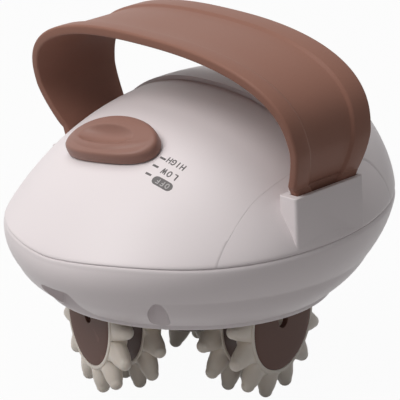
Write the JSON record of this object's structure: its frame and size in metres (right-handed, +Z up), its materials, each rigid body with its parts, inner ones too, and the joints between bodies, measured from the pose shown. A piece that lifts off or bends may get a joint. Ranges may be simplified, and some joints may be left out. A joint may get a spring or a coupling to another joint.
{
  "type": "handheld body massager",
  "caption": "Domed motor housing under an arched strap handle, with a sliding speed knob on the nose and finger rollers carried by a turning table underneath.",
  "frame": {"origin": "on the surface it stands on, under the middle of the bounding box", "axes": "+Z up, -Y towards the nose with the plug recess, +X across the body, along the handle's span"},
  "size_m": [0.1394, 0.1497, 0.1355],
  "materials": {
    "shell_white": "gloss",
    "handle_brown": "satin",
    "knob_brown": "satin",
    "cap_brown": "satin",
    "table_brown": "matte",
    "finger_ivory": "satin",
    "gear_plastic": "matte",
    "black_plastic": "matte",
    "board_green": "satin",
    "brass": "satin",
    "steel": "brushed"
  },
  "bodies": {
    "housing": {"front_cover": "shell_white", "rear_cover": "shell_white", "side_cover_left": "shell_white", "side_cover_right": "shell_white", "lower_housing": "shell_white", "housing_screws": "steel", "handle_strap": "handle_brown", "handle_screws": "steel", "switch_body": "steel", "control_board": "board_green", "board_screws": "steel", "power_jack": "black_plastic", "gear_plate": "gear_plastic", "plate_screws": "steel", "table_bush": "brass", "motor_plate": "steel", "motor_plate_screws": "steel", "motor": "steel", "motor_screws": "steel", "compound_pin": "steel"},
    "knob": {"speed_knob": "knob_brown", "knob_carrier": "black_plastic", "switch_lever": "gear_plastic"},
    "roller_table": {"roller_table": "table_brown", "table_shaft": "steel", "drive_gear": "gear_plastic", "shaft_clip": "steel", "table_screw": "steel", "axle_1": "steel", "axle_2": "steel", "axle_3": "steel", "axle_screw_1": "steel", "axle_screw_2": "steel", "axle_screw_3": "steel"},
    "reduction": {"compound_gear": "gear_plastic"},
    "rotor": {"motor_pinion": "brass", "motor_shaft": "steel"},
    "roller_1": {"inner_wheel_1": "finger_ivory", "outer_wheel_1": "finger_ivory", "inner_cap_1": "cap_brown", "outer_cap_1": "cap_brown", "spacer_1": "table_brown"},
    "roller_2": {"inner_wheel_2": "finger_ivory", "outer_wheel_2": "finger_ivory", "inner_cap_2": "cap_brown", "outer_cap_2": "cap_brown", "spacer_2": "table_brown"},
    "roller_3": {"inner_wheel_3": "finger_ivory", "outer_wheel_3": "finger_ivory", "inner_cap_3": "cap_brown", "outer_cap_3": "cap_brown", "spacer_3": "table_brown"}
  },
  "joints": [
    {"name": "knob_slide", "type": "slide", "parent": "housing", "child": "knob", "axis": [0, 0.8323, 0.5543], "range_m": [-0.0039, 0.0039]},
    {"name": "table_spin", "type": "hinge", "parent": "housing", "child": "roller_table", "pos_m": [0, -0.00637, 0.05], "axis": [0, 0, 1], "continuous": true},
    {"name": "reduction_spin", "type": "hinge", "parent": "housing", "child": "reduction", "pos_m": [-0.02425, 0.00763, 0.07], "axis": [0, 0, 1], "continuous": true},
    {"name": "rotor_spin", "type": "hinge", "parent": "housing", "child": "rotor", "pos_m": [-0.00431, 0.01693, 0.075], "axis": [0, 0, 1], "continuous": true},
    {"name": "roller_1_spin", "type": "hinge", "parent": "roller_table", "child": "roller_1", "pos_m": [0, -0.00637, 0.0293], "axis": [0.9755, 0.2198, 0], "continuous": true},
    {"name": "roller_2_spin", "type": "hinge", "parent": "roller_table", "child": "roller_2", "pos_m": [0, -0.00637, 0.0293], "axis": [-0.6782, 0.7349, 0], "continuous": true},
    {"name": "roller_3_spin", "type": "hinge", "parent": "roller_table", "child": "roller_3", "pos_m": [0, -0.00637, 0.0293], "axis": [-0.2974, -0.9548, 0], "continuous": true}
  ],
  "couplings": [
    {"joint": "reduction_spin", "follows": "table_spin", "ratio": -3.6667},
    {"joint": "rotor_spin", "follows": "table_spin", "ratio": 9.7778}
  ]
}
